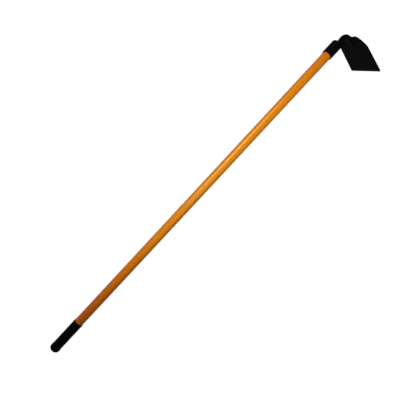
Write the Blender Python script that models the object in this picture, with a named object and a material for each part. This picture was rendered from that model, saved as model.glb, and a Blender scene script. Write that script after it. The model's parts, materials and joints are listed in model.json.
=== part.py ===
"""Garden draw hoe: a tubular handle with a grip, and a steel head on a bent neck.

The hoe is drawn along its shaft and then set down on its butt and its cutting edge.
Lengths are in metres. In shaft coordinates x runs from the butt to the head, y along
the cutting edge, and z away from it; the shaft's axis is z = 0.
"""

import math

import bmesh
import bpy
from mathutils import Matrix, Vector

# Clearance between pieces that touch
GAP = 0.0003

# Handle tube
TUBE_DIAMETER = 0.032
TUBE_WALL = 0.003
TUBE_LENGTH = 1.404

# Grip sleeve and butt cap
GRIP_LENGTH = 0.116
GRIP_WALL = 0.0008
GRIP_EDGE_RADIUS = 0.0004
CAP_DIAMETER = 0.0360
CAP_LENGTH = 0.0165
CAP_ROUNDING = 0.012
CAP_SPIGOT_LENGTH = 0.030
CAP_SPIGOT_CHAMFER = 0.0015

# Ferrule and its rivet
FERRULE_WALL = 0.0024
FERRULE_LENGTH = 0.0555
FERRULE_NOSE = 0.006
FERRULE_ROUNDING = 0.0081
FERRULE_LIP_RADIUS = 0.0006
RIVET_DIAMETER = 0.005
RIVET_HEAD_DIAMETER = 0.009
RIVET_HEAD_HEIGHT = 0.0012
RIVET_SETBACK = 0.018

# Tang and the plug that holds it
TANG_DIAMETER = 0.010
TANG_LENGTH = 0.075
TANG_CHAMFER = 0.002
PLUG_BACKING = 0.015

# Neck
NECK_DIAMETER = 0.0145
NECK_LEAD = 0.006
NECK_RISE_ANGLE = 6.0
NECK_RISE_RADIUS = 0.040
NECK_RISE_LENGTH = 0.0085
NECK_BEND_RADIUS = 0.0225
PRONG_LENGTH = 0.032
PRONG_TIP_DIAMETER = 0.0095

# Blade
BLADE_ANGLE = 89.0
BLADE_THICKNESS = 0.003
BLADE_HEIGHT = 0.146
BLADE_WIDTH = 0.135
BLADE_SHOULDER_WIDTH = 0.1255
BLADE_SHOULDER_DEPTH = 0.045
BLADE_TOP_WIDTH = 0.061
BLADE_TOP_EASE = 0.0096
BLADE_SIDE_EASE = 0.0107
BLADE_SEAT = 0.0076
EDGE_BEVEL_HEIGHT = 0.009
EDGE_THICKNESS = 0.0008

# Welds
WELD_LEG = 0.0028
WELD_BULGE = 0.0005
WELD_START = 0.0006

# Fineness of the meshes
ROUND_SIDES = 40
ROD_SIDES = 32
BEND_STEP = 6.0
PROFILE_STEP = 11.0
SHOULDER_STEPS = 12
WELD_STEPS = 12
SMOOTH_ANGLE = math.radians(32.0)
MERGE_DISTANCE = 1e-6

# Sizes that follow from the ones above
TUBE_RADIUS = TUBE_DIAMETER / 2
TUBE_BORE_RADIUS = TUBE_RADIUS - TUBE_WALL
SLEEVE_BORE_RADIUS = TUBE_RADIUS + GAP
CAP_RADIUS = CAP_DIAMETER / 2
SPIGOT_RADIUS = TUBE_BORE_RADIUS - GAP
FERRULE_RADIUS = SLEEVE_BORE_RADIUS + FERRULE_WALL
NECK_RADIUS = NECK_DIAMETER / 2
TANG_RADIUS = TANG_DIAMETER / 2
RIVET_RADIUS = RIVET_DIAMETER / 2

TUBE_START = CAP_LENGTH + GAP
TUBE_END = TUBE_START + TUBE_LENGTH
FERRULE_END = TUBE_END + GAP + FERRULE_NOSE
FERRULE_MOUTH = FERRULE_END - FERRULE_LENGTH
RIVET_X = FERRULE_MOUTH + RIVET_SETBACK
TANG_TIP = TUBE_END - TANG_LENGTH

RISE_TURN = math.radians(NECK_RISE_ANGLE)
BLADE_TURN = math.radians(180.0 - BLADE_ANGLE)
BLADE_LEAN = BLADE_TURN - math.pi / 2
SLOT_HALF_WIDTH = BLADE_THICKNESS / 2 + GAP


# ---------------------------------------------------------------- modelling helpers

def clear_scene():
    for item in list(bpy.data.objects):
        bpy.data.objects.remove(item, do_unlink=True)


def finish(name, colour, roughness, metallic=0.0):
    material = bpy.data.materials.new(name)
    material.use_nodes = True
    shader = material.node_tree.nodes["Principled BSDF"]
    shader.inputs["Base Color"].default_value = (*colour, 1.0)
    shader.inputs["Roughness"].default_value = roughness
    shader.inputs["Metallic"].default_value = metallic
    return material


def add_empty(name, parent=None, matrix=None):
    empty = bpy.data.objects.new(name, None)
    bpy.context.scene.collection.objects.link(empty)
    empty.parent = parent
    empty.matrix_local = matrix or Matrix()
    return empty


def add_object(name, bm, parent, material=None):
    bmesh.ops.remove_doubles(bm, verts=bm.verts, dist=MERGE_DISTANCE)
    bmesh.ops.recalc_face_normals(bm, faces=bm.faces)
    mesh = bpy.data.meshes.new(name)
    bm.to_mesh(mesh)
    bm.free()
    mesh.shade_smooth()
    mesh.set_sharp_from_angle(angle=SMOOTH_ANGLE)
    item = bpy.data.objects.new(name, mesh)
    bpy.context.scene.collection.objects.link(item)
    item.parent = parent
    if material:
        mesh.materials.append(material)
    return item


def as_cutter(item):
    item.hide_render = True
    item.display_type = 'WIRE'
    return item


def cut(item, cutter):
    modifier = item.modifiers.new("cut_" + cutter.name, 'BOOLEAN')
    modifier.operation = 'DIFFERENCE'
    modifier.solver = 'EXACT'
    modifier.object = cutter


def arc(centre_x, centre_r, radius, start, end):
    """Points of an arc from angle start to end, in degrees, 0 along x and 90 along r."""
    steps = max(2, round(abs(end - start) / PROFILE_STEP))
    points = []
    for i in range(steps + 1):
        angle = math.radians(start + (end - start) * i / steps)
        points.append((centre_x + radius * math.cos(angle), centre_r + radius * math.sin(angle)))
    return points


def join_rings(bm, rings):
    """Walls between rings of vertices that follow each other, and a face at each end."""
    for ring, following in zip(rings, rings[1:]):
        for i in range(len(ring)):
            j = (i + 1) % len(ring)
            bm.faces.new((ring[i], ring[j], following[j], following[i]))
    bm.faces.new(rings[0])
    bm.faces.new(rings[-1])


def turned(profile, closed, sides=ROUND_SIDES):
    """Solid turned about the x axis from points (x, r). A closed profile makes a ring."""
    bm = bmesh.new()
    verts = [bm.verts.new((x, 0.0, -r)) for x, r in profile]
    edges = [bm.edges.new(pair) for pair in zip(verts, verts[1:])]
    if closed:
        edges.append(bm.edges.new((verts[-1], verts[0])))
    bmesh.ops.spin(bm, geom=verts + edges, cent=(0, 0, 0), axis=(1, 0, 0),
                   angle=math.tau, steps=sides, use_merge=True)
    return bm


def swept(stations, sides=ROD_SIDES):
    """Round rod along stations (x, z, turn, radius) in the plane y = 0, with flat ends."""
    bm = bmesh.new()
    rings = []
    for x, z, turn, radius in stations:
        normal = Vector((math.sin(turn), 0.0, math.cos(turn)))
        ring = []
        for i in range(sides):
            angle = math.tau * i / sides
            place = Vector((x, 0.0, z)) + radius * math.cos(angle) * normal
            place.y = radius * math.sin(angle)
            ring.append(bm.verts.new(place))
        rings.append(ring)
    join_rings(bm, rings)
    return bm


def box(low, high):
    bm = bmesh.new()
    size = Vector(high) - Vector(low)
    middle = (Vector(high) + Vector(low)) / 2
    bmesh.ops.create_cube(bm, size=1.0, matrix=Matrix.Translation(middle) @ Matrix.Diagonal((*size, 1.0)))
    return bm


# ---------------------------------------------------------------- where the neck runs

class NeckPath:
    """Centre line of the neck, walked from the plug's face towards the blade."""

    def __init__(self):
        self.x = TUBE_END + GAP
        self.z = 0.0
        self.turn = 0.0
        self.stations = [(self.x, self.z, self.turn, NECK_RADIUS)]

    def straight(self, length, end_radius=NECK_RADIUS):
        self.x += length * math.cos(self.turn)
        self.z -= length * math.sin(self.turn)
        self.stations.append((self.x, self.z, self.turn, end_radius))

    def bend(self, radius, end_turn):
        side = math.copysign(1.0, end_turn - self.turn)
        centre_x = self.x - side * radius * math.sin(self.turn)
        centre_z = self.z - side * radius * math.cos(self.turn)
        start = self.turn
        steps = max(2, math.ceil(math.degrees(abs(end_turn - start)) / BEND_STEP))
        for i in range(1, steps + 1):
            self.turn = start + (end_turn - start) * i / steps
            self.x = centre_x + side * radius * math.sin(self.turn)
            self.z = centre_z + side * radius * math.cos(self.turn)
            self.stations.append((self.x, self.z, self.turn, NECK_RADIUS))


def neck_path():
    path = NeckPath()
    path.straight(FERRULE_END + NECK_LEAD - path.x)
    path.bend(NECK_RISE_RADIUS, -RISE_TURN)
    path.straight(NECK_RISE_LENGTH)
    path.bend(NECK_BEND_RADIUS, BLADE_TURN)
    return path


def blade_top():
    """Middle of the blade's top edge, which stands above the end of the bend."""
    path = neck_path()
    path.straight(-BLADE_SEAT)
    return Vector((path.x, 0.0, path.z))


def blade_matrix():
    """Blade coordinates: x out of the far face, y along the edge, z up, 0 at the top edge."""
    return Matrix.Translation(blade_top()) @ Matrix.Rotation(BLADE_LEAN, 4, 'Y')


def neck_radius_at(depth):
    """Radius of the neck at a depth below the blade's top edge."""
    taper = (depth - BLADE_SEAT) / (PRONG_LENGTH - BLADE_SEAT)
    share = min(max(taper, 0.0), 1.0)
    return NECK_RADIUS + (PRONG_TIP_DIAMETER / 2 - NECK_RADIUS) * share


def neck_offset_at(depth):
    """How far the neck's centre line lies on the near side of the blade's middle plane."""
    rise = max(BLADE_SEAT - depth, 0.0)
    return NECK_BEND_RADIUS - math.sqrt(max(NECK_BEND_RADIUS ** 2 - rise ** 2, 0.0))


# ---------------------------------------------------------------- where the hoe stands

def cutting_edge():
    return blade_matrix() @ Vector((-BLADE_THICKNESS / 2, 0.0, -BLADE_HEIGHT))


def standing_matrix():
    """Tilts the hoe so that butt and cutting edge both touch z = 0, centred along x."""
    edge = cutting_edge()
    run = edge.x - CAP_ROUNDING
    rounding_height = CAP_RADIUS - CAP_ROUNDING
    drop = -edge.z - rounding_height
    tilt = math.acos(CAP_ROUNDING / math.hypot(run, drop)) - math.atan2(run, drop)
    turn = Matrix.Rotation(-tilt, 4, 'Y')
    butt = turn @ Vector((CAP_ROUNDING, 0.0, rounding_height))
    far_edge = turn @ (blade_matrix() @ Vector((EDGE_THICKNESS - BLADE_THICKNESS / 2, 0.0, -BLADE_HEIGHT)))
    middle = (butt.x - CAP_ROUNDING + far_edge.x) / 2
    lift = -(turn @ edge).z
    return Matrix.Translation((-middle, 0.0, lift)) @ turn


# ---------------------------------------------------------------- handle

def make_handle_tube(parent):
    profile = [(TUBE_START, TUBE_RADIUS), (TUBE_END, TUBE_RADIUS),
               (TUBE_END, TUBE_BORE_RADIUS), (TUBE_START, TUBE_BORE_RADIUS)]
    material = finish("orange_fibreglass", (0.62, 0.18, 0.012), 0.3)
    return add_object("handle_tube", turned(profile, closed=True), parent, material)


def make_grip_sleeve(parent):
    outer = SLEEVE_BORE_RADIUS + GRIP_WALL
    end = TUBE_START + GRIP_LENGTH
    edge = GRIP_EDGE_RADIUS
    profile = [(TUBE_START, SLEEVE_BORE_RADIUS), (TUBE_START, outer)]
    profile += arc(end - edge, outer - edge, edge, 90, 0)
    profile += [(end, SLEEVE_BORE_RADIUS)]
    material = finish("grip_rubber", (0.004, 0.004, 0.004), 0.6)
    return add_object("grip_sleeve", turned(profile, closed=True), parent, material)


def make_butt_cap(parent):
    spigot_end = TUBE_START + CAP_SPIGOT_LENGTH
    profile = [(0.0, 0.0)]
    profile += arc(CAP_ROUNDING, CAP_RADIUS - CAP_ROUNDING, CAP_ROUNDING, 180, 90)
    profile += [(CAP_LENGTH, CAP_RADIUS), (CAP_LENGTH, SPIGOT_RADIUS),
                (spigot_end - CAP_SPIGOT_CHAMFER, SPIGOT_RADIUS),
                (spigot_end, SPIGOT_RADIUS - CAP_SPIGOT_CHAMFER), (spigot_end, 0.0)]
    material = finish("cap_rubber", (0.004, 0.004, 0.004), 0.5)
    return add_object("butt_cap", turned(profile, closed=False), parent, material)


# ---------------------------------------------------------------- joint of handle and head

def make_ferrule(parent):
    neck_hole = NECK_RADIUS + GAP
    seat = TUBE_END + GAP
    lip = FERRULE_LIP_RADIUS
    rounding = min(FERRULE_ROUNDING, FERRULE_RADIUS - neck_hole)
    profile = arc(FERRULE_MOUTH + lip, FERRULE_RADIUS - lip, lip, 180, 90)
    profile += arc(FERRULE_END - rounding, FERRULE_RADIUS - rounding, rounding, 90, 0)
    profile += [(FERRULE_END, neck_hole), (seat, neck_hole),
                (seat, SLEEVE_BORE_RADIUS), (FERRULE_MOUTH, SLEEVE_BORE_RADIUS)]
    material = finish("ferrule_paint", (0.004, 0.004, 0.004), 0.35)
    return add_object("ferrule", turned(profile, closed=True), parent, material)


def make_core_plug(parent):
    tang_hole = TANG_RADIUS + GAP
    profile = [(TANG_TIP - PLUG_BACKING, 0.0), (TANG_TIP - PLUG_BACKING, SPIGOT_RADIUS),
               (TUBE_END, SPIGOT_RADIUS), (TUBE_END, tang_hole),
               (TANG_TIP - GAP, tang_hole), (TANG_TIP - GAP, 0.0)]
    material = finish("plug_wood", (0.45, 0.27, 0.12), 0.7)
    return add_object("core_plug", turned(profile, closed=False), parent, material)


def rivet_profile():
    """Half of the rivet's outline, as (distance along it, radius), middle to head."""
    seat = FERRULE_RADIUS + GAP
    head = RIVET_HEAD_DIAMETER / 2
    dome = (head ** 2 + RIVET_HEAD_HEIGHT ** 2) / (2 * RIVET_HEAD_HEIGHT)
    spread = math.degrees(math.asin(head / dome))
    return [(seat, RIVET_RADIUS)] + arc(seat + RIVET_HEAD_HEIGHT - dome, 0.0, dome, spread, 0)


def make_ferrule_rivet(parent):
    half = rivet_profile()
    other_half = [(-along, radius) for along, radius in reversed(half)]
    seat = Matrix.Translation((RIVET_X, 0.0, 0.0)) @ Matrix.Rotation(math.pi / 2, 4, 'Y')
    material = finish("rivet_steel", (0.004, 0.004, 0.004), 0.35)
    rivet = add_object("ferrule_rivet", turned(other_half + half, closed=False), parent, material)
    rivet.matrix_local = seat
    return rivet


def make_rivet_drill(parent):
    reach = FERRULE_RADIUS + RIVET_DIAMETER
    hole = RIVET_RADIUS + GAP
    profile = [(-reach, 0.0), (-reach, hole), (reach, hole), (reach, 0.0)]
    drill = add_object("rivet_drill", turned(profile, closed=False), parent)
    drill.matrix_local = Matrix.Translation((RIVET_X, 0.0, 0.0)) @ Matrix.Rotation(math.pi / 2, 4, 'Y')
    return as_cutter(drill)


# ---------------------------------------------------------------- head

def neck_stations():
    """Tang, shoulder, bends and tapering tip, as one run of stations."""
    path = neck_path()
    path.straight(PRONG_LENGTH - BLADE_SEAT, PRONG_TIP_DIAMETER / 2)
    shoulder = path.stations[0][0]
    tang = [(TANG_TIP, 0.0, 0.0, TANG_RADIUS - TANG_CHAMFER),
            (TANG_TIP + TANG_CHAMFER, 0.0, 0.0, TANG_RADIUS),
            (shoulder, 0.0, 0.0, TANG_RADIUS)]
    return tang + path.stations


def make_slot_cutter(parent):
    low = (-SLOT_HALF_WIDTH, -NECK_DIAMETER, -PRONG_LENGTH - NECK_DIAMETER)
    high = (SLOT_HALF_WIDTH, NECK_DIAMETER, GAP)
    return as_cutter(add_object("slot_cutter", box(low, high), parent))


def make_neck(parent, slot_cutter):
    material = finish("neck_paint", (0.004, 0.004, 0.004), 0.35)
    neck = add_object("neck", swept(neck_stations()), parent, material)
    cut(neck, slot_cutter)
    return neck


def bezier(p0, p1, p2, p3, steps):
    points = []
    for i in range(steps + 1):
        t = i / steps
        s = 1.0 - t
        points.append(s ** 3 * p0 + 3 * s * s * t * p1 + 3 * s * t * t * p2 + t ** 3 * p3)
    return points


def blade_half_outline():
    """Points (y, z) of half the blade, from the flat top round the shoulder to the bevel."""
    top = Vector((BLADE_TOP_WIDTH / 2, 0.0))
    shoulder = Vector((BLADE_SHOULDER_WIDTH / 2, -BLADE_SHOULDER_DEPTH))
    corner = Vector((BLADE_WIDTH / 2, -BLADE_HEIGHT))
    side = (corner - shoulder).normalized()
    handle_top = top + Vector((BLADE_TOP_EASE, 0.0))
    handle_side = shoulder - side * BLADE_SIDE_EASE
    bevel_share = EDGE_BEVEL_HEIGHT / (BLADE_HEIGHT - BLADE_SHOULDER_DEPTH)
    bevel_line = corner + (shoulder - corner) * bevel_share
    return bezier(top, handle_top, handle_side, shoulder, SHOULDER_STEPS) + [bevel_line, corner]


def make_blade(parent):
    half = blade_half_outline()
    outline = [(-y, z) for y, z in reversed(half)] + [(y, z) for y, z in half]
    inner_x = -BLADE_THICKNESS / 2
    outer_x = BLADE_THICKNESS / 2
    bm = bmesh.new()
    inner = [bm.verts.new((inner_x, y, z)) for y, z in outline]
    outer = [bm.verts.new((outer_x, y, z)) for y, z in outline]
    for corner in (outer[0], outer[-1]):
        corner.co.x = inner_x + EDGE_THICKNESS
    bm.faces.new(inner)
    bm.faces.new(outer[1:-1])
    bm.faces.new((outer[0], outer[1], outer[-2], outer[-1]))
    for i in range(len(outline)):
        j = (i + 1) % len(outline)
        bm.faces.new((inner[i], inner[j], outer[j], outer[i]))
    material = finish("blade_paint", (0.004, 0.004, 0.004), 0.4)
    return add_object("blade", bm, parent, material)


def weld_section(side, depth):
    """Corners (x, y) of a fillet's section across the neck, at a depth below the top edge."""
    foot = SLOT_HALF_WIDTH
    reach = neck_radius_at(depth) ** 2 - (foot + side * neck_offset_at(depth)) ** 2
    neck_edge = math.sqrt(max(reach, 0.0)) + GAP
    right_half = [(foot, neck_edge + WELD_LEG),
                  (foot + WELD_LEG / 2 + WELD_BULGE, neck_edge + WELD_LEG / 2 + WELD_BULGE),
                  (foot + WELD_LEG, neck_edge)]
    left_half = [(x, -y) for x, y in reversed(right_half)]
    return [(side * x, y) for x, y in right_half + left_half]


def make_weld(name, side, parent, neck_relief):
    """Fillet on one face of the blade: side is -1 for the near face and 1 for the far one."""
    bm = bmesh.new()
    weld_end = PRONG_LENGTH + GAP + WELD_LEG
    rings = []
    for i in range(WELD_STEPS + 1):
        depth = WELD_START + (weld_end - WELD_START) * i / WELD_STEPS
        rings.append([bm.verts.new((x, y, -depth)) for x, y in weld_section(side, depth)])
    join_rings(bm, rings)
    material = finish(name + "_metal", (0.004, 0.004, 0.004), 0.45)
    weld = add_object(name, bm, parent, material)
    cut(weld, neck_relief)
    return weld


def make_neck_relief(parent):
    """The neck grown by the clearance, which keeps the welds off it."""
    stations = [(x, z, turn, radius + GAP) for x, z, turn, radius in neck_stations()]
    x, z, turn, radius = stations[-1]
    stations.append((x + GAP * math.cos(turn), z - GAP * math.sin(turn), turn, radius))
    return as_cutter(add_object("neck_relief", swept(stations), parent))


# ---------------------------------------------------------------- the whole hoe

def build_hoe():
    clear_scene()
    shaft = add_empty("shaft_frame", matrix=standing_matrix())
    blade_frame = add_empty("blade_frame", shaft, blade_matrix())

    drill = make_rivet_drill(shaft)
    make_butt_cap(shaft)
    make_grip_sleeve(shaft)
    cut(make_handle_tube(shaft), drill)
    cut(make_core_plug(shaft), drill)
    cut(make_ferrule(shaft), drill)
    make_ferrule_rivet(shaft)
    cut(make_neck(shaft, make_slot_cutter(blade_frame)), drill)
    make_blade(blade_frame)

    relief = make_neck_relief(shaft)
    make_weld("weld_inner", -1, blade_frame, relief)
    make_weld("weld_outer", 1, blade_frame, relief)


build_hoe()
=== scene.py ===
import json
import math

import bmesh
import bpy
from mathutils import Matrix, Vector


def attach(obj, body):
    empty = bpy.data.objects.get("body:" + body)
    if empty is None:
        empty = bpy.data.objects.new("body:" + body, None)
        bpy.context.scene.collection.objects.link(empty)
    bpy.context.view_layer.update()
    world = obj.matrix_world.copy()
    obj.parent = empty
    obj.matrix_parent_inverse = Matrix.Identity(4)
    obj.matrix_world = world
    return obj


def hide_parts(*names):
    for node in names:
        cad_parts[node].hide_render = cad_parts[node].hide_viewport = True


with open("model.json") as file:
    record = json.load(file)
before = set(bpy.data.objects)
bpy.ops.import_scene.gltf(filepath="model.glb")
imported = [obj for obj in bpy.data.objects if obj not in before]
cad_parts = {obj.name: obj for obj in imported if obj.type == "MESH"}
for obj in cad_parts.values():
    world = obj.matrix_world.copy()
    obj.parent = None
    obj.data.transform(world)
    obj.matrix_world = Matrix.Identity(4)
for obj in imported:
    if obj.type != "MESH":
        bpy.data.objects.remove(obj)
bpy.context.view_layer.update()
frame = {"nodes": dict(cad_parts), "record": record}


# ---------------------------------------------------------------- handle tube
# A hollow tube of glass fibre set in orange resin, drawn through a die and cut to
# length. The fibres run along it and show as faint streaks under the glossy skin.
# Every size in this file is in metres.

# The shaft has axes of its own: x runs from the butt to the head, and y across the blade.
mount = frame["record"]["mounts"][0]
along = -Vector(mount["axis"]).normalized()
across = Vector((0.0, 1.0, 0.0))
turned = Matrix((along, across, along.cross(across))).transposed().to_4x4()
shaft = Matrix.Translation(mount["pos_m"]) @ turned

CLEARANCE = 0.0003
TUBE_WALL = 0.003
TUBE_RIM = 0.0003
RIVET_HOLE_RADIUS = 0.0028
RIVET_SETBACK = 0.018
DRILL_LENGTH = 0.08
RIVET_SIDES = 48
ROUND_SIDES = 96
SMOOTH_ANGLE = math.radians(32.0)
SAME_PLACE = 0.00002
RING_SLACK = 0.00006
DOUBLED_CORNERS = 0.000002
RESIN_DEEP = (0.62, 0.175, 0.0012, 1.0)
RESIN_BRIGHT = (0.82, 0.264, 0.0028, 1.0)
# Painted shade: the next colour, and the two places where it fades out and comes back, paint the ends
# of the tube redder to stand in for the dimmer light there; the resin itself is one orange all along.
RESIN_PAINTED_SHADE_RED = (0.72, 0.130, 0.001, 1.0)
PAINTED_SHADE_FADES_OUT = 0.75
PAINTED_SHADE_COMES_BACK = 1.15
RESIN_SHEEN = (0.90, 1.00, 0.40, 1.0)
STRAND_GRAIN = (0.22, 0.0016, 0.0016)
ROVING_GRAIN = (0.7, 0.006, 0.006)
CLOUD_GRAIN = (0.09, 0.03, 0.03)
HANDLING_GRAIN = (0.05, 0.012, 0.012)
DIE_LINE_GRAIN = (4.0, 0.0012, 0.0012)
DIE_LINE_DEPTH = 0.000001
RESIN_SPECULAR = 0.18
RESIN_ROUGHNESS = 0.31
DULLED_BY_HANDS = 0.06


def reach(node):
    """Where a node starts and ends along the shaft, and its greatest radius round it."""
    points = [shaft.inverted() @ vertex.co for vertex in frame["nodes"][node].data.vertices]
    start = min(point.x for point in points)
    end = max(point.x for point in points)
    return start, end, max(math.hypot(point.y, point.z) for point in points)


def begin(name):
    """Takes up the primitive that was just added, with its place and turn in its mesh."""
    piece = bpy.context.object
    piece.name = name
    piece.data.name = name
    bpy.ops.object.transform_apply()
    bpy.ops.object.mode_set(mode='EDIT')
    bpy.ops.mesh.select_all(action='DESELECT')
    return piece


def add_bar(name, start, end, radius, sides=ROUND_SIDES):
    """A round bar along the shaft's axis, from start to end."""
    bpy.ops.object.select_all(action='DESELECT')
    middle = ((start + end) / 2, 0.0, 0.0)
    bpy.ops.mesh.primitive_cylinder_add(
        vertices=sides, radius=radius, depth=end - start,
        location=middle, rotation=(0.0, math.pi / 2, 0.0))
    return begin(name)


def pick(kind, test):
    """Selects the faces, edges or corners whose middle passes the test, and no others."""
    bpy.ops.mesh.select_mode(type=kind)
    bpy.ops.mesh.select_all(action='DESELECT')
    mesh = bmesh.from_edit_mesh(bpy.context.object.data)
    for part in {'FACE': mesh.faces, 'EDGE': mesh.edges, 'VERT': mesh.verts}[kind]:
        corners = [part.co] if kind == 'VERT' else [corner.co for corner in part.verts]
        if test(sum(corners, Vector()) / len(corners)):
            part.select_set(True)
    bmesh.update_edit_mesh(bpy.context.object.data)


def near(value, target):
    return abs(value - target) < SAME_PLACE


def at(*places):
    """A test for what lies at one of these places along the shaft."""
    return lambda middle: any(near(middle.x, place) for place in places)


def ring_at(x, radius):
    """A test for the edges of a ring round the shaft, which lie close inside its radius."""
    return lambda middle: (
        near(middle.x, x) and abs(math.hypot(middle.y, middle.z) - radius) < RING_SLACK)


def on_axis(middle):
    """True for the middle of a round face that a bore goes through."""
    return math.hypot(middle.y, middle.z) < RING_SLACK


def modify(piece, kind, **settings):
    """Adds a modifier with these settings and applies it."""
    modifier = piece.modifiers.new(kind.lower(), kind)
    for name, value in settings.items():
        setattr(modifier, name, value)
    bpy.ops.object.modifier_apply(modifier=modifier.name)


def close_edit(piece):
    """Merges doubled corners, turns the faces outwards and leaves edit mode."""
    bpy.ops.mesh.select_all(action='SELECT')
    bpy.ops.mesh.remove_doubles(threshold=DOUBLED_CORNERS)
    bpy.ops.mesh.normals_make_consistent(inside=False)
    bpy.ops.object.mode_set(mode='OBJECT')


def hold(piece):
    """Selects the piece and nothing else, for the next steps to act on."""
    bpy.ops.object.select_all(action='DESELECT')
    piece.select_set(True)
    bpy.context.view_layer.objects.active = piece


def seat(piece, place):
    """Sets the finished piece in its place and smooths what is round."""
    hold(piece)
    piece.matrix_world = place
    bpy.ops.object.transform_apply()
    bpy.ops.object.shade_smooth_by_angle(angle=SMOOTH_ANGLE)


def cut_out(piece, tool):
    """Takes the shape of the tool out of the piece, and puts the tool away."""
    hold(piece)
    modify(piece, 'BOOLEAN', operation='DIFFERENCE', object=tool)
    bpy.data.objects.remove(tool)


def drill(piece, x, radius):
    """Drills right through the piece at x, at a right angle to the shaft."""
    bpy.ops.object.select_all(action='DESELECT')
    bpy.ops.mesh.primitive_cylinder_add(
        vertices=RIVET_SIDES, radius=radius, depth=DRILL_LENGTH, location=(x, 0.0, 0.0))
    cut_out(piece, bpy.context.object)


class Value:
    """A number that varies over a surface. Adding to it and the like makes Math nodes."""

    def __init__(self, surface, output):
        self.surface = surface
        self.output = output

    def combine(self, operation, first, second):
        return self.surface.node("ShaderNodeMath", {"operation": operation}, {0: first, 1: second})

    def __add__(self, other):
        return self.combine('ADD', self, other)

    def __sub__(self, other):
        return self.combine('SUBTRACT', self, other)

    def __rsub__(self, other):
        return self.combine('SUBTRACT', other, self)

    def __mul__(self, other):
        return self.combine('MULTIPLY', self, other)

    __radd__ = __add__
    __rmul__ = __mul__


class Surface:
    """The nodes of a material or of the world."""

    def __init__(self, owner):
        self.owner = owner
        owner.use_nodes = True
        self.tree = owner.node_tree

    def connect(self, node, sockets):
        """Links a varying value to its socket, and writes a plain one into it."""
        for name, value in sockets.items():
            if isinstance(value, Value):
                self.tree.links.new(value.output, node.inputs[name])
            else:
                node.inputs[name].default_value = value

    def node(self, kind, settings, sockets, output=0):
        """Adds a node, sets its settings and then its sockets, and gives one of its outputs."""
        made = self.tree.nodes.new(kind)
        for name, value in settings.items():
            setattr(made, name, value)
        self.connect(made, sockets)
        return Value(self, made.outputs[output]) if output is not None else None

    def point(self, size, place=None):
        """Object coordinates along the axes of a place, counted in grains of this size."""
        place = place or shaft
        return self.node("ShaderNodeMapping", {"vector_type": 'TEXTURE'}, {
            "Vector": self.node("ShaderNodeTexCoord", {}, {}, "Object"),
            "Location": place.translation, "Rotation": place.to_euler(), "Scale": size})

    def coordinate(self, axis, place=None):
        """How far along one axis of a place a point lies, in metres."""
        point = self.point((1.0, 1.0, 1.0), place)
        return self.node("ShaderNodeSeparateXYZ", {}, {"Vector": point}, axis)

    def line(self, value, target, width):
        """1 where the value is at a target, falling to 0 at this width on either side."""
        away = self.node("ShaderNodeMath", {"operation": 'ABSOLUTE'}, {0: value - target})
        return 1.0 - self.step(away, 0.0, width)

    def noise(self, size, detail=2.0, roughness=0.5, place=None):
        """Soft noise with grains of this size along the three axes, from 0 to 1."""
        return self.node("ShaderNodeTexNoise", {}, {
            "Vector": self.point(size, place), "Scale": 1.0, "Detail": detail, "Roughness": roughness})

    def step(self, value, low, high):
        """0 where the value is under low, 1 where it is over high, and a ramp between."""
        return self.node("ShaderNodeMapRange", {"interpolation_type": 'SMOOTHSTEP'}, {
            "Value": value, "From Min": low, "From Max": high})

    def mix(self, factor, first, second):
        """One colour turning into another as the factor goes from 0 to 1."""
        return self.node("ShaderNodeMix", {"data_type": 'RGBA'}, {0: factor, 6: first, 7: second}, 2)

    def bump(self, height, distance):
        """A normal for a surface whose height runs from 0 to 1 over this distance."""
        return self.node("ShaderNodeBump", {}, {"Height": height, "Distance": distance})


def finish(name, sockets):
    """A material with this base, whose varying sockets are set once its nodes are made."""
    surface = Surface(bpy.data.materials.new(name))
    surface.shader = surface.tree.nodes["Principled BSDF"]
    surface.connect(surface.shader, sockets)
    return surface


tube_start, tube_end, tube_radius = reach("handle_tube")
ferrule_start, ferrule_end, ferrule_radius = reach("ferrule")
rivet_x = ferrule_start + RIVET_SETBACK

tube = add_bar("tube_laminate", tube_start, tube_end, tube_radius)
pick('EDGE', at(tube_start, tube_end))
bpy.ops.mesh.bevel(offset=TUBE_RIM, segments=2, affect='EDGES')
pick('FACE', at(tube_start, tube_end))
bpy.ops.mesh.inset(thickness=TUBE_WALL - TUBE_RIM)
bpy.ops.mesh.bridge_edge_loops()
close_edit(tube)
drill(tube, rivet_x, RIVET_HOLE_RADIUS)
seat(tube, shaft)

resin = finish("orange_fibreglass", {
    "Specular IOR Level": RESIN_SPECULAR, "Specular Tint": RESIN_SHEEN})
strands = resin.noise(STRAND_GRAIN, detail=4.0, roughness=0.6)
rovings = resin.noise(ROVING_GRAIN)
clouds = resin.noise(CLOUD_GRAIN)
handling = resin.noise(HANDLING_GRAIN, detail=5.0, roughness=0.65)
die_lines = resin.noise(DIE_LINE_GRAIN, detail=1.0)
lit_fibres = resin.step(strands * 0.6 + rovings * 0.4, 0.30, 0.62)
fibre_tone = resin.mix(lit_fibres, RESIN_DEEP, RESIN_BRIGHT)
# Painted shade: the orange turns redder from the middle towards the butt, and half as much towards the
# head, as the tube looks under dimmer light there; the resin does not change along its length.
lengthwise = resin.coordinate("X") + 0.2 * (clouds - 0.5)
painted_shade_by_head = resin.step(lengthwise, PAINTED_SHADE_COMES_BACK, tube_end)
painted_shade_redness = 1.0 - resin.step(lengthwise, 0.0, PAINTED_SHADE_FADES_OUT) + 0.5 * painted_shade_by_head
resin.connect(resin.shader, {
    "Base Color": resin.mix(painted_shade_redness, fibre_tone, RESIN_PAINTED_SHADE_RED),
    "Roughness": RESIN_ROUGHNESS + DULLED_BY_HANDS * handling,
    "Normal": resin.bump(die_lines, DIE_LINE_DEPTH)})
tube.data.materials.append(resin.owner)

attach(tube, "root")
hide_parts("handle_tube")


# ---------------------------------------------------------------- core plug
# A turned hardwood plug, driven into the head end of the tube. It is bored for the tang
# and keeps the thin tube from being crushed by the rivet. The ferrule hides it.

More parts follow.
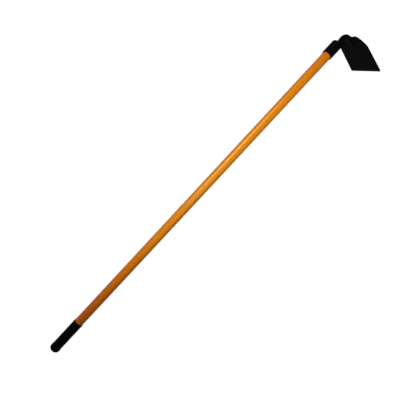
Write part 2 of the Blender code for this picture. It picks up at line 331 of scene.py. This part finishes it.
WOOD_LIGHT = (0.52, 0.33, 0.16, 1.0)
WOOD_DARK = (0.30, 0.16, 0.065, 1.0)
GROWTH_RING_GRAIN = (0.05, 0.004, 0.004)
PORE_GRAIN = (0.006, 0.0004, 0.0004)
PORE_DEPTH = 0.00008
WOOD_SPECULAR = 0.3
WOOD_ROUGHNESS = 0.6
DULLED_BY_PORES = 0.2

plug_wood = finish("plug_hardwood", {"Specular IOR Level": WOOD_SPECULAR})
rings = plug_wood.node("ShaderNodeTexWave", {"wave_type": 'BANDS', "bands_direction": 'Z'}, {
    "Vector": plug_wood.point(GROWTH_RING_GRAIN), "Scale": 1.0, "Distortion": 3.0, "Detail": 2.0})
pores = plug_wood.noise(PORE_GRAIN, detail=3.0)
wood_tone = plug_wood.mix(rings, WOOD_LIGHT, WOOD_DARK)
plug_wood.connect(plug_wood.shader, {
    "Base Color": plug_wood.mix(plug_wood.step(pores, 0.55, 0.7) * 0.6, wood_tone, WOOD_DARK),
    "Roughness": WOOD_ROUGHNESS + DULLED_BY_PORES * pores,
    "Normal": plug_wood.bump(pores, PORE_DEPTH)})
core_plug = frame["nodes"]["core_plug"]
core_plug.data.materials.clear()
core_plug.data.materials.append(plug_wood.owner)


# ---------------------------------------------------------------- neck
# A round steel rod. Its thin end, the tang, sits in the plug. Outside the ferrule it
# rises a little, turns down through a right angle and ends in two tapered prongs that
# straddle the blade. It is forged and bent hot, and painted black with the blade.

TANG_RADIUS = 0.005
TANG_CHAMFER = 0.002
NECK_RADIUS = 0.0072
NECK_LEAD = 0.006
RISE_ANGLE = math.radians(6.0)
RISE_RADIUS = 0.040
RISE_LENGTH = 0.0085
BEND_RADIUS = 0.0225
BLADE_TURN = math.radians(91.0)
BLADE_SEAT = 0.0076
PRONG_LENGTH = 0.032
PRONG_TIP_RADIUS = 0.00475
PRONG_ROUNDING = 0.0012
SLOT_WIDTH = 0.0036
SLOT_SAW_WIDTH = 0.05
NECK_SIDES = 64
BLACK = (0.0016, 0.0016, 0.0017, 1.0)
GREY_BLACK = (0.0034, 0.0034, 0.0036, 1.0)
RUBBED_STEEL = (0.11, 0.106, 0.10, 1.0)
PEEL_GRAIN = (0.0016, 0.0016, 0.0016)
SCUFF_GRAIN = (0.012, 0.003, 0.012)
PAINT_RELIEF = 0.00012
WORN_THROUGH = (1.0, 1.08)
DULLED_BY_SCUFFS = 0.22
POLISHED_BY_WEAR = 0.1
BARE_STEEL_SHARE = 0.7
COLLAR_WEAR = 0.62
COLLAR_WEAR_WIDTH = 0.0015


def draw_out(length, turn, radius=None):
    """Extrudes the selected end by a length in the direction of the turn, to a new radius."""
    step = Vector((math.cos(turn), 0.0, -math.sin(turn))) * length
    bpy.ops.mesh.extrude_region_move(TRANSFORM_OT_translate={"value": step})
    if radius:
        mesh = bmesh.from_edit_mesh(bpy.context.object.data)
        ring = [corner.co for corner in mesh.verts if corner.select]
        middle = sum(ring, Vector()) / len(ring)
        size = radius / max((corner - middle).length for corner in ring)
        bpy.ops.transform.resize(value=(size, size, size), center_override=middle)
    return step


def bend(place, turn, radius, new_turn, steps):
    """Spins the selected end round a bend, and gives the place where the bend ends."""
    side = math.copysign(1.0, new_turn - turn)
    centre = place - side * radius * Vector((math.sin(turn), 0.0, math.cos(turn)))
    bpy.ops.mesh.spin(steps=steps, angle=new_turn - turn, center=centre, axis=(0.0, -1.0, 0.0))
    return centre + side * radius * Vector((math.sin(new_turn), 0.0, math.cos(new_turn)))


tang_tip = reach("neck")[0]
shoulder_x = tube_end + CLEARANCE

bpy.ops.object.select_all(action='DESELECT')
bpy.ops.mesh.primitive_circle_add(
    vertices=NECK_SIDES, radius=TANG_RADIUS - TANG_CHAMFER, fill_type='NGON',
    location=(tang_tip, 0.0, 0.0), rotation=(0.0, math.pi / 2, 0.0))
neck = begin("neck_forging")
bpy.ops.mesh.select_all(action='SELECT')
draw_out(TANG_CHAMFER, 0.0, TANG_RADIUS)
draw_out(shoulder_x - tang_tip - TANG_CHAMFER, 0.0)
draw_out(0.0, 0.0, NECK_RADIUS)
draw_out(ferrule_end + NECK_LEAD - shoulder_x, 0.0)
rod_end = Vector((ferrule_end + NECK_LEAD, 0.0, 0.0))
rod_end = bend(rod_end, 0.0, RISE_RADIUS, -RISE_ANGLE, steps=4)
rod_end += draw_out(RISE_LENGTH, -RISE_ANGLE)
rod_end = bend(rod_end, -RISE_ANGLE, BEND_RADIUS, BLADE_TURN, steps=32)
blade_top = rod_end - BLADE_SEAT * Vector((math.cos(BLADE_TURN), 0.0, -math.sin(BLADE_TURN)))
draw_out(PRONG_LENGTH - BLADE_SEAT, BLADE_TURN, PRONG_TIP_RADIUS)
bpy.ops.mesh.region_to_loop()
bpy.ops.mesh.bevel(offset=PRONG_ROUNDING, segments=3, affect='EDGES')
close_edit(neck)
drill(neck, rivet_x, RIVET_HOLE_RADIUS)

blade_frame = Matrix.Translation(blade_top) @ Matrix.Rotation(BLADE_TURN - math.pi / 2, 4, 'Y')
bpy.ops.mesh.primitive_cube_add(size=1.0)
slot_saw = bpy.context.object
slot_size = Vector((SLOT_WIDTH, SLOT_SAW_WIDTH, PRONG_LENGTH * 2))
slot_place = Matrix.Translation((0.0, 0.0, CLEARANCE - PRONG_LENGTH))
slot_saw.matrix_world = blade_frame @ slot_place @ Matrix.Diagonal((*slot_size, 1.0))
cut_out(neck, slot_saw)
seat(neck, shaft)


def black_paint(name, grain, specular, roughness, rubbed=None, place=None):
    """Black enamel over steel: a fine orange peel, faint scuffs, and steel where it is rubbed."""
    paint = finish(name, {"Specular IOR Level": specular})
    peel = paint.noise(PEEL_GRAIN, detail=2.0, place=place)
    forging = paint.noise((grain, grain, grain), detail=4.0, roughness=0.6, place=place)
    scuffs = paint.noise(SCUFF_GRAIN, detail=6.0, roughness=0.7, place=place)
    tone = paint.mix(paint.step(forging, 0.35, 0.75), BLACK, GREY_BLACK)
    worn = paint.step(scuffs + (rubbed(paint) if rubbed else 0.0), *WORN_THROUGH)
    dulled = DULLED_BY_SCUFFS * paint.step(scuffs, 0.4, 0.75)
    paint.connect(paint.shader, {
        "Base Color": paint.mix(worn, tone, RUBBED_STEEL),
        "Roughness": roughness + dulled - POLISHED_BY_WEAR * worn,
        "Metallic": worn * BARE_STEEL_SHARE,
        "Normal": paint.bump(peel * 0.25 + forging, PAINT_RELIEF)})
    return paint.owner


def rubbed_collar(paint):
    """The ring of the neck that the ferrule's nose rubs."""
    return COLLAR_WEAR * paint.line(paint.coordinate("X"), ferrule_end, COLLAR_WEAR_WIDTH)


neck.data.materials.append(black_paint(
    "neck_paint", grain=0.009, specular=0.012, roughness=0.38, rubbed=rubbed_collar))

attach(neck, "root")
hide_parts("neck")


# ---------------------------------------------------------------- blade
# A plate pressed from 3 mm spring steel: flat on top, rounded shoulders, sides that open
# a little towards the edge. The far face is ground to a bevel. Painted black all over.

BLADE_THICKNESS = 0.003
BLADE_HEIGHT = 0.146
HALF_WIDTH = 0.0675
SHOULDER_HALF_WIDTH = 0.06275
SHOULDER_DEPTH = 0.045
TOP_HALF_WIDTH = 0.0305
TOP_EASE = 0.0096
SIDE_EASE = 0.0107
BEVEL_HEIGHT = 0.009
EDGE_THICKNESS = 0.0008
PRESSED_ROUNDING = 0.0005
SHOULDER_ROWS = 28
EDGE_WEAR = 0.62
EDGE_WEAR_HEIGHT = 0.0022
BEVEL_WEAR = 0.42
BEVEL_WEAR_STARTS = 0.6
BEHIND_NEAR_FACE = (-0.0013, -0.0009)


def shoulder(share):
    """Half width and depth of the blade on its shoulder, 0 at the side and 1 on top."""
    side = Vector((HALF_WIDTH - SHOULDER_HALF_WIDTH, BLADE_HEIGHT - SHOULDER_DEPTH)).normalized()
    start = Vector((SHOULDER_HALF_WIDTH, SHOULDER_DEPTH))
    end = Vector((TOP_HALF_WIDTH, 0.0))
    leave = start - side * SIDE_EASE
    arrive = end + Vector((TOP_EASE, 0.0))
    rest = 1.0 - share
    return (rest ** 3 * start + 3 * rest ** 2 * share * leave
            + 3 * rest * share ** 2 * arrive + share ** 3 * end)


def raise_row(width, rise):
    """Draws the selected top edge of the sheet up by a rise and out or in to a half width."""
    bpy.ops.mesh.extrude_edges_move(TRANSFORM_OT_translate={"value": (0.0, 0.0, rise)})
    mesh = bmesh.from_edit_mesh(bpy.context.object.data)
    row = [corner.co for corner in mesh.verts if corner.select]
    size = width / max(corner.y for corner in row)
    bpy.ops.transform.resize(value=(1.0, size, 1.0), center_override=(0.0, 0.0, row[0].z))


bpy.ops.object.select_all(action='DESELECT')
bpy.ops.mesh.primitive_grid_add(
    x_subdivisions=1, y_subdivisions=16, size=1.0, rotation=(0.0, math.pi / 2, 0.0),
    location=(-BLADE_THICKNESS / 2, 0.0, BEVEL_HEIGHT / 2 - BLADE_HEIGHT))
bpy.context.object.scale = (BEVEL_HEIGHT, HALF_WIDTH * 2, 1.0)
blade = begin("blade_plate")
bevel_top = BEVEL_HEIGHT - BLADE_HEIGHT
side_length = BLADE_HEIGHT - SHOULDER_DEPTH
bevel_width = HALF_WIDTH - (HALF_WIDTH - SHOULDER_HALF_WIDTH) * BEVEL_HEIGHT / side_length
pick('EDGE', lambda middle: near(middle.z, bevel_top))
bpy.ops.transform.resize(
    value=(1.0, bevel_width / HALF_WIDTH, 1.0), center_override=(0.0, 0.0, bevel_top))
depth = BLADE_HEIGHT - BEVEL_HEIGHT
for row in range(SHOULDER_ROWS + 1):
    half_width, new_depth = shoulder(row / SHOULDER_ROWS)
    raise_row(half_width, depth - new_depth)
    depth = new_depth
bpy.ops.mesh.select_all(action='SELECT')
bpy.ops.mesh.normals_make_consistent(inside=False)
bpy.ops.mesh.solidify(thickness=BLADE_THICKNESS)
pick('VERT', lambda middle: near(middle.z, -BLADE_HEIGHT) and middle.x > 0)
bpy.ops.transform.translate(value=(EDGE_THICKNESS - BLADE_THICKNESS, 0.0, 0.0))
bpy.ops.mesh.select_mode(type='EDGE')
bpy.ops.mesh.select_all(action='DESELECT')
bpy.ops.mesh.edges_select_sharp(sharpness=math.radians(40.0))
bpy.ops.mesh.bevel(offset=PRESSED_ROUNDING, segments=3, affect='EDGES')
close_edit(blade)
blade_place = shaft @ blade_frame
seat(blade, blade_place)


def rubbed_edge(paint):
    """The cutting edge, and less so the ground bevel behind it on the far face."""
    height = paint.coordinate("Z", blade_place)
    edge = paint.line(height, -BLADE_HEIGHT, EDGE_WEAR_HEIGHT)
    far_side = paint.step(paint.coordinate("X", blade_place), *BEHIND_NEAR_FACE)
    on_bevel = 1.0 - paint.step(height, BEVEL_WEAR_STARTS * BEVEL_HEIGHT - BLADE_HEIGHT, bevel_top)
    return EDGE_WEAR * edge + BEVEL_WEAR * far_side * on_bevel


blade.data.materials.append(black_paint(
    "blade_paint", grain=0.03, specular=0.008, roughness=0.5, rubbed=rubbed_edge, place=blade_place))

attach(blade, "root")
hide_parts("blade")


# ---------------------------------------------------------------- welds
# A bead on each face of the blade runs down one side of the prong, round its tip and up
# the other side. Each ripple is where the pool of steel froze. Painted with the blade.

RIPPLE_RADIUS = 0.00165
RIPPLE_THICKNESS = 0.0012
RIPPLE_PITCH = 0.001
RIPPLE_STANDOFF = 0.00075
BEAD_START = 0.0016
BEAD_CORNER = 0.0022
BEAD_GRAIN = 0.00022

# Where a prong's flat face lies, from the middle of the plate, and how far it reaches to
# either side of its own middle at the top of the blade and at its tip.
prong_face = SLOT_WIDTH / 2
top_edge = math.sqrt(NECK_RADIUS ** 2 - prong_face ** 2)
tip_edge = math.sqrt(PRONG_TIP_RADIUS ** 2 - prong_face ** 2)
taper = math.atan2(top_edge - tip_edge, PRONG_LENGTH - BLADE_SEAT)


def bead_route():
    """Places and headings (y, z, angle) of a bead's ripples, an even pitch apart."""
    y, z, heading = top_edge + CLEARANCE + RIPPLE_STANDOFF, -BEAD_START, 0.0
    route = [(y, z, heading)]

    def walk(length, turn):
        nonlocal y, z, heading
        ripples = max(1, round(length / RIPPLE_PITCH))
        for _ in range(ripples):
            halfway = heading + turn / ripples / 2
            heading += turn / ripples
            y -= length / ripples * math.sin(halfway)
            z -= length / ripples * math.cos(halfway)
            route.append((y, z, heading))

    corner = math.pi / 2 - taper
    walk(BLADE_SEAT - BEAD_START, 0.0)
    heading = taper
    walk(PRONG_LENGTH - BLADE_SEAT - CLEARANCE, 0.0)
    walk(BEAD_CORNER * corner, corner)
    walk(2 * y, 0.0)
    walk(BEAD_CORNER * corner, corner)
    walk(PRONG_LENGTH - BLADE_SEAT - CLEARANCE, 0.0)
    heading = math.pi
    walk(BLADE_SEAT - BEAD_START, 0.0)
    return route


def lay_bead(name, node, side):
    """Lays a bead of ripples on one face of the blade and melts them into one."""
    bpy.ops.object.select_all(action='DESELECT')
    bpy.ops.mesh.primitive_ico_sphere_add(subdivisions=2, radius=RIPPLE_RADIUS)
    first = bpy.context.object
    ripples = []
    for y, z, heading in bead_route():
        ripple = first.copy()
        ripple.data = first.data.copy()
        bpy.context.scene.collection.objects.link(ripple)
        ripple.matrix_world = (
            Matrix.Translation((side * (prong_face + RIPPLE_STANDOFF), y, z))
            @ Matrix.Rotation(heading, 4, 'X')
            @ Matrix.Diagonal((1.0, 1.0, RIPPLE_THICKNESS / RIPPLE_RADIUS, 1.0)))
        ripples.append(ripple)
    bpy.data.objects.remove(first)
    for ripple in ripples:
        ripple.select_set(True)
    bpy.context.view_layer.objects.active = ripples[0]
    bpy.ops.object.join()
    bead = begin(name)
    close_edit(bead)
    modify(bead, 'REMESH', mode='VOXEL', voxel_size=BEAD_GRAIN)
    modify(bead, 'SMOOTH', factor=0.5, iterations=2)
    seat(bead, blade_place)
    bead.data.materials.append(weld_finish)
    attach(bead, "root")
    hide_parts(node)


weld_finish = black_paint(
    "weld_paint", grain=0.002, specular=0.015, roughness=0.42, place=blade_place)
lay_bead("inner_bead", "weld_inner", -1)
lay_bead("outer_bead", "weld_outer", 1)


# ---------------------------------------------------------------- ferrule
# A cup drawn from steel, pushed over the tube's head end. Its nose is domed and bored
# for the neck, its mouth has a rolled lip, and it is drilled across for the rivet.

FERRULE_WALL = 0.0024
FERRULE_ROUNDING = 0.0081
FERRULE_LIP = 0.0006
LIP_WEAR = 0.5
LIP_WEAR_WIDTH = 0.0008

bore = ferrule_radius - FERRULE_WALL
neck_hole = NECK_RADIUS + CLEARANCE
ferrule = add_bar("ferrule_cup", ferrule_start, ferrule_end, ferrule_radius)
pick('EDGE', ring_at(ferrule_end, ferrule_radius))
bpy.ops.mesh.bevel(offset=FERRULE_ROUNDING, segments=20, affect='EDGES')
pick('EDGE', ring_at(ferrule_start, ferrule_radius))
bpy.ops.mesh.bevel(offset=FERRULE_LIP, segments=4, affect='EDGES')
pick('FACE', at(ferrule_end))
bpy.ops.mesh.inset(thickness=ferrule_radius - FERRULE_ROUNDING - neck_hole)
pick('FACE', at(ferrule_start))
bpy.ops.mesh.inset(thickness=FERRULE_WALL - FERRULE_LIP)
draw_out(shoulder_x - ferrule_start, 0.0)
bpy.ops.mesh.inset(thickness=bore - neck_hole)
pick('FACE', on_axis)
bpy.ops.mesh.bridge_edge_loops()
close_edit(ferrule)
drill(ferrule, rivet_x, RIVET_HOLE_RADIUS)
seat(ferrule, shaft)


def rubbed_lip(paint):
    """The rolled lip, where hands slide against it."""
    return LIP_WEAR * paint.line(paint.coordinate("X"), ferrule_start, LIP_WEAR_WIDTH)


ferrule.data.materials.append(black_paint(
    "ferrule_paint", grain=0.006, specular=0.008, roughness=0.36, rubbed=rubbed_lip))

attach(ferrule, "root")
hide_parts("ferrule")


# ---------------------------------------------------------------- ferrule rivet
# A steel pin through ferrule, tube, plug and tang, with both ends set to low domes.
# It stops the head from pulling out, and is painted with the ferrule.

RIVET_RADIUS = 0.0025
HEAD_RADIUS = 0.0045
HEAD_HEIGHT = 0.0012
HEAD_RINGS = 8
HEAD_WEAR = 0.48
HEAD_WEAR_DEPTH = 0.0009


def set_head(turn):
    """Spreads the selected end of the pin into a low dome that stands off along the turn."""
    dome = (HEAD_RADIUS ** 2 + HEAD_HEIGHT ** 2) / (2 * HEAD_HEIGHT)
    spread = math.asin(HEAD_RADIUS / dome)
    draw_out(0.0, turn, HEAD_RADIUS)
    height = dome - HEAD_HEIGHT
    for ring in range(1, HEAD_RINGS):
        angle = spread * (1 - ring / HEAD_RINGS)
        draw_out(dome * math.cos(angle) - height, turn, dome * math.sin(angle))
        height = dome * math.cos(angle)


head_seat = ferrule_radius + CLEARANCE
rivet = add_bar("rivet_pin", -head_seat, head_seat, RIVET_RADIUS, sides=RIVET_SIDES)
pick('FACE', at(head_seat))
set_head(0.0)
pick('FACE', at(-head_seat))
set_head(math.pi)
close_edit(rivet)
upright = Matrix.Rotation(math.pi / 2, 4, 'Y')
seat(rivet, shaft @ Matrix.Translation((rivet_x, 0.0, 0.0)) @ upright)


def rubbed_head(paint):
    """The crown of the upper head, which stands proud of the ferrule."""
    return HEAD_WEAR * paint.line(paint.coordinate("Z"), head_seat + HEAD_HEIGHT, HEAD_WEAR_DEPTH)


rivet.data.materials.append(black_paint(
    "rivet_paint", grain=0.003, specular=0.015, roughness=0.36, rubbed=rubbed_head))

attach(rivet, "root")
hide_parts("ferrule_rivet")


# ---------------------------------------------------------------- grip sleeve
# A thin sleeve of black rubber, stretched over the tube's butt end. Its surface has a
# fine pebble from the mould, and its mouth is rounded so that it doesn't catch.

SLEEVE_WALL = 0.0008
SLEEVE_ROUNDING = 0.0004
RUBBER_DARK = (0.0016, 0.0016, 0.0016, 1.0)
RUBBER_DUSTY = (0.0034, 0.0033, 0.0031, 1.0)
DUST_GRAIN = (0.02, 0.008, 0.008)
PEBBLE_HEIGHT = 0.00007
DULLED_BY_DUST = 0.15


def rubber(name, pebble, specular, roughness):
    """Black rubber with a moulded pebble, a little dusty in patches."""
    surface = finish(name, {"Specular IOR Level": specular})
    grain = surface.noise((pebble, pebble, pebble), detail=1.0)
    dust = surface.noise(DUST_GRAIN, detail=5.0, roughness=0.65)
    surface.connect(surface.shader, {
        "Base Color": surface.mix(surface.step(dust, 0.4, 0.75), RUBBER_DARK, RUBBER_DUSTY),
        "Roughness": roughness + DULLED_BY_DUST * dust,
        "Normal": surface.bump(surface.step(grain, 0.35, 0.65), PEBBLE_HEIGHT)})
    return surface.owner


sleeve_start, sleeve_end, sleeve_radius = reach("grip_sleeve")
sleeve = add_bar("rubber_sleeve", sleeve_start, sleeve_end, sleeve_radius)
pick('EDGE', ring_at(sleeve_end, sleeve_radius))
bpy.ops.mesh.bevel(offset=SLEEVE_ROUNDING, segments=4, affect='EDGES')
pick('FACE', at(sleeve_end))
bpy.ops.mesh.inset(thickness=SLEEVE_WALL - SLEEVE_ROUNDING)
pick('FACE', at(sleeve_start))
bpy.ops.mesh.inset(thickness=SLEEVE_WALL)
pick('FACE', on_axis)
bpy.ops.mesh.bridge_edge_loops()
close_edit(sleeve)
seat(sleeve, shaft)
sleeve.data.materials.append(rubber("grip_rubber", pebble=0.0007, specular=0.01, roughness=0.6))

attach(sleeve, "root")
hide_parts("grip_sleeve")


# ---------------------------------------------------------------- butt cap
# A moulded rubber plug that closes the tube: a rounded end a little fatter than the
# sleeve, and a spigot that is pressed into the bore. A small dimple marks the gate.

CAP_LENGTH = 0.0165
CAP_SHRINKAGE = 0.0001
CAP_ROUNDING = 0.012
CAP_LIP = 0.0006
SPIGOT_CHAMFER = 0.0015
GATE_RADIUS = 0.002
GATE_DEPTH = 0.0004

cap_start, spigot_end, cap_radius = reach("butt_cap")
cap_start += CAP_SHRINKAGE
spigot_radius = tube_radius - TUBE_WALL - CLEARANCE
cap = add_bar("cap_moulding", cap_start, CAP_LENGTH, cap_radius)
pick('EDGE', ring_at(cap_start, cap_radius))
bpy.ops.mesh.bevel(offset=CAP_ROUNDING, segments=28, affect='EDGES')
pick('EDGE', ring_at(CAP_LENGTH, cap_radius))
bpy.ops.mesh.bevel(offset=CAP_LIP, segments=4, affect='EDGES')
pick('FACE', at(cap_start))
bpy.ops.mesh.inset(thickness=cap_radius - CAP_ROUNDING - GATE_RADIUS)
draw_out(GATE_DEPTH, 0.0)
pick('FACE', at(CAP_LENGTH))
bpy.ops.mesh.inset(thickness=cap_radius - CAP_LIP - spigot_radius)
draw_out(spigot_end - CAP_LENGTH - SPIGOT_CHAMFER, 0.0)
draw_out(SPIGOT_CHAMFER, 0.0, spigot_radius - SPIGOT_CHAMFER)
close_edit(cap)
seat(cap, shaft)
cap.data.materials.append(rubber("cap_rubber", pebble=0.0005, specular=0.012, roughness=0.5))

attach(cap, "root")
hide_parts("butt_cap")


# ---------------------------------------------------------------- floor, light and camera
# A white sweep under soft light. Two panels light the body of the hoe, a long and a short
# box draw the lines of light along the tube, and one box behind and one beyond the head
# light the far sides.

FLOOR_SIZE = 40.0
SHADOW_DEPTH = 0.08
SHADOW_REACH = 1.0
LIGHT_ON_FLOOR = 0.26
FLOOR_BOUNCE = 0.08
ROOM_LIGHT = 0.03
WHITE = (1.0, 1.0, 1.0, 1.0)
FULL_SPREAD = math.radians(180.0)
HIGHLIGHT_SPREAD = math.radians(120.0)
CAMERA_PLACE = (0.7462, -1.0344, 0.5610)
CAMERA_YAW = math.radians(-1.249)
CAMERA_PITCH = math.radians(-29.392)
CAMERA_ROLL = math.radians(-47.718)
CAMERA_LENS = 31.05


def background_ray(surface):
    """1 where the camera, a reflection or glass looks at a surface, 0 where light does."""
    camera, glossy, glass = (
        surface.node("ShaderNodeLightPath", {}, {}, ray)
        for ray in ("Is Camera Ray", "Is Glossy Ray", "Is Transmission Ray"))
    seen = camera + glossy + glass
    return surface.node("ShaderNodeMath", {"operation": 'MINIMUM'}, {0: seen, 1: 1.0})


def add_softbox(name, place, aim, size, power, spread=FULL_SPREAD, sheen=True, body=True):
    """A soft box at a place along the shaft; it can light only the sheen or only the body."""
    box = bpy.data.lights.new(name, 'AREA')
    box.shape = 'RECTANGLE'
    box.size, box.size_y = size
    box.energy = power
    box.spread = spread
    lamp = bpy.data.objects.new(name, box)
    bpy.context.scene.collection.objects.link(lamp)
    back = (Vector(place) - Vector(aim)).normalized()
    side = Vector((1.0, 0.0, 0.0)).cross(back).normalized()
    facing = Matrix((-side.cross(back), -side, back)).transposed().to_4x4()
    lamp.matrix_world = shaft @ Matrix.Translation(place) @ facing
    lamp.visible_camera = False
    lamp.visible_glossy = sheen
    lamp.visible_diffuse = body


bpy.ops.object.select_all(action='DESELECT')
bpy.ops.mesh.primitive_plane_add(size=FLOOR_SIZE)
floor = bpy.context.object
floor.name = "floor"
sweep = Surface(bpy.data.materials.new("white_sweep"))
sweep.tree.nodes.clear()
looked_at = background_ray(sweep)
distance = sweep.node("ShaderNodeVectorMath", {"operation": 'LENGTH'}, {
    0: sweep.node("ShaderNodeTexCoord", {}, {}, "Object")}, "Value")
shaded = 1.0 - sweep.step(distance, SHADOW_REACH, SHADOW_REACH * 2)
paper = sweep.node("ShaderNodeBsdfDiffuse", {}, {
    "Color": looked_at * shaded * SHADOW_DEPTH + (1.0 - looked_at) * FLOOR_BOUNCE})
glow = sweep.node("ShaderNodeEmission", {}, {
    "Strength": looked_at * (1.0 - shaded * (SHADOW_DEPTH * LIGHT_ON_FLOOR))})
both = sweep.node("ShaderNodeAddShader", {}, {0: paper, 1: glow})
sweep.node("ShaderNodeOutputMaterial", {}, {"Surface": both}, output=None)
floor.data.materials.append(sweep.owner)

room = Surface(bpy.data.worlds.new("white_room"))
bpy.context.scene.world = room.owner
room.connect(room.tree.nodes["Background"], {
    "Color": WHITE, "Strength": ROOM_LIGHT + (1.0 - ROOM_LIGHT) * background_ray(room)})

add_softbox(
    "panel_by_grip", place=(0.486, -0.265, 0.424), aim=(0.486, 0.0, 0.0),
    size=(0.50, 0.30), power=1.35, sheen=False)
add_softbox(
    "panel_by_head", place=(1.17, -0.691, 0.452), aim=(1.17, 0.0, 0.0),
    size=(0.50, 0.30), power=6.1, sheen=False)
add_softbox(
    "long_box", place=(1.14, -0.46, 0.88), aim=(1.02, 0.0, 0.0),
    size=(0.88, 0.20), power=13.5, spread=HIGHLIGHT_SPREAD, body=False)
add_softbox(
    "short_box", place=(0.75, -1.10, 0.35), aim=(0.75, 0.0, 0.0),
    size=(0.44, 0.20), power=3.6, spread=HIGHLIGHT_SPREAD, body=False)
add_softbox(
    "box_behind", place=(0.60, 1.66, 0.20), aim=(0.70, 0.0, 0.0),
    size=(1.20, 0.36), power=11.0, sheen=False)
add_softbox(
    "box_beyond_head", place=(2.30, 0.45, 0.14), aim=(1.46, 0.0, -0.07),
    size=(0.50, 0.36), power=4.5)

camera = bpy.data.objects.new("camera", bpy.data.cameras.new("camera"))
bpy.context.scene.collection.objects.link(camera)
camera.data.lens = CAMERA_LENS
camera.matrix_world = (
    shaft @ Matrix.Translation(CAMERA_PLACE)
    @ Matrix.Rotation(-CAMERA_YAW, 4, 'Z')
    @ Matrix.Rotation(math.pi / 2 + CAMERA_PITCH, 4, 'X')
    @ Matrix.Rotation(CAMERA_ROLL, 4, 'Z'))
bpy.context.scene.camera = camera
bpy.context.scene.view_settings.view_transform = 'Standard'
